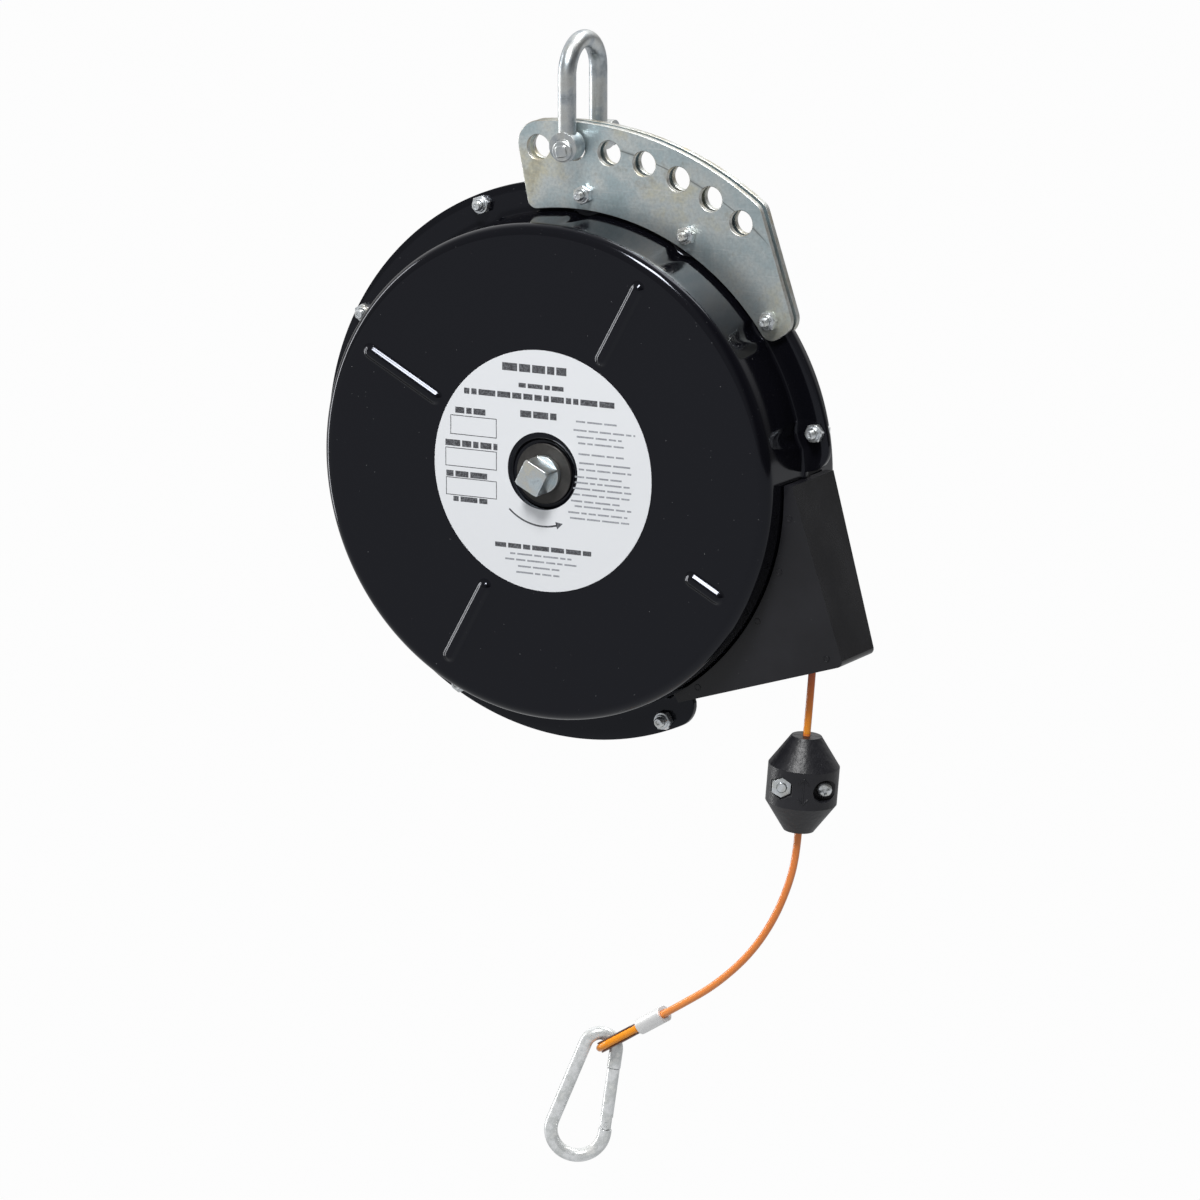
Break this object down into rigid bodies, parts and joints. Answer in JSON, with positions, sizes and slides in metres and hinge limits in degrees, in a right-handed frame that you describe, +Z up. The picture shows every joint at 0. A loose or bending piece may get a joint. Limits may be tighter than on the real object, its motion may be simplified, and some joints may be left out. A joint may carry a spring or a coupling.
{
  "type": "spring tool balancer",
  "caption": "Spring tool balancer: two bolted round pans with a spring drum, hanging shackle, corner cord guide, coated cord with ball stop and a snap hook.",
  "frame": {"origin": "inside top of the shackle bow, where the balancer is hung", "axes": "+Z up, +Y away from the label side, +X to the right as seen from the label side"},
  "size_m": [0.3008, 0.1017, 0.5824],
  "materials": {
    "painted_pans": "glossy black paint on pressed steel",
    "guide_plastic": "satin black moulding",
    "plated_plate": "yellowish zinc plating, fine scratches",
    "plated_fastener": "zinc plated fasteners",
    "shackle_steel": "galvanised forged steel",
    "label_film": "pale grey printed film",
    "bush_metal": "dark sintered bearing metal",
    "shaft_steel": "dark oiled steel",
    "cord_coat": "translucent orange coated wire rope",
    "ball_plastic": "grained black plastic",
    "ferrule_metal": "pressed aluminium",
    "hook_steel": "bright zinc plated steel",
    "drum_metal": "cast aluminium",
    "spring_steel": "blued spring steel",
    "drum_bearing": "bronze bushes"
  },
  "bodies": {
    "shackle": {"shackle_bail": "shackle_steel", "shackle_pin": "shackle_steel"},
    "housing": {"front_cover": "painted_pans", "rear_cover": "painted_pans", "hanger_plate_front": "plated_plate", "hanger_plate_rear": "plated_plate", "flange_bolts": "plated_fastener", "flange_nuts": "plated_fastener", "hanger_bolts": "plated_fastener", "hanger_nuts": "plated_fastener", "cable_guide": "guide_plastic", "label_disc": "label_film", "front_bush": "bush_metal", "rear_bush": "bush_metal", "cord_lead": "cord_coat", "leaf_clamp": "shaft_steel", "clamp_screws": "plated_fastener"},
    "pawl": {"release_leaf": "spring_steel"},
    "shaft": {"tension_shaft": "shaft_steel", "ratchet_wheel": "shaft_steel", "wheel_key": "shaft_steel", "spring_arbor": "shaft_steel", "arbor_key": "shaft_steel", "retaining_ring_front": "shaft_steel", "retaining_ring_rear": "shaft_steel"},
    "drum": {"drum": "drum_metal", "drum_lid": "drum_metal", "lid_screws": "plated_fastener", "drum_bush_front": "drum_bearing", "drum_bush_rear": "drum_bearing", "power_spring": "spring_steel", "spring_anchor_pin": "shaft_steel", "wound_cord": "cord_coat"},
    "cord_end": {"cord_upper": "cord_coat", "cord_clamped": "cord_coat", "cord_lower": "cord_coat", "cord_stub": "cord_coat", "cord_loop": "cord_coat", "ball_stop_front": "ball_plastic", "ball_stop_rear": "ball_plastic", "ball_screws": "plated_fastener", "ball_nuts": "plated_fastener", "ferrule": "ferrule_metal", "thimble": "hook_steel"},
    "hook": {"hook_body": "hook_steel", "gate_pin": "hook_steel"},
    "gate": {"hook_gate": "hook_steel", "gate_spring": "spring_steel"}
  },
  "joints": [
    {"name": "shackle_swing", "type": "hinge", "parent": "shackle", "child": "housing", "pos_m": [0, 0, -0.0473], "axis": [0, 1, 0], "range_deg": [-60, 100]},
    {"name": "drum_spin", "type": "hinge", "parent": "housing", "child": "drum", "pos_m": [0, -0.005, -0.20949], "axis": [0, 1, 0], "range_deg": [-14, 1023], "deforming": ["power_spring"]},
    {"name": "cord_travel", "type": "slide", "parent": "housing", "child": "cord_end", "axis": [0, 0, -1], "range_m": [-0.027, 2], "deforming": ["cord_upper"]},
    {"name": "shaft_turn", "type": "hinge", "parent": "housing", "child": "shaft", "pos_m": [0, -0.005, -0.20949], "axis": [0, 1, 0], "continuous": true},
    {"name": "leaf_release", "type": "hinge", "parent": "housing", "child": "pawl", "pos_m": [0.0545, -0.005, -0.17722], "axis": [0, 1, 0], "range_deg": [0, 6.5], "stiffness_Nm_per_rad": 1, "springref_deg": -2.86},
    {"name": "hook_swing", "type": "hinge", "parent": "cord_end", "child": "hook", "pos_m": [0.01332, -0.00633, -0.5133], "axis": [-0.4679, 0.8838, 0], "range_deg": [-32, 32]},
    {"name": "gate_open", "type": "hinge", "parent": "hook", "child": "gate", "pos_m": [0.01581, -0.00502, -0.55268], "axis": [0.4679, -0.8838, 0], "range_deg": [0, 24], "stiffness_Nm_per_rad": 0.05, "springref_deg": -17.19}
  ],
  "couplings": [
    {"joint": "cord_travel", "follows": "drum_spin", "m_per_rad": 0.1099}
  ]
}
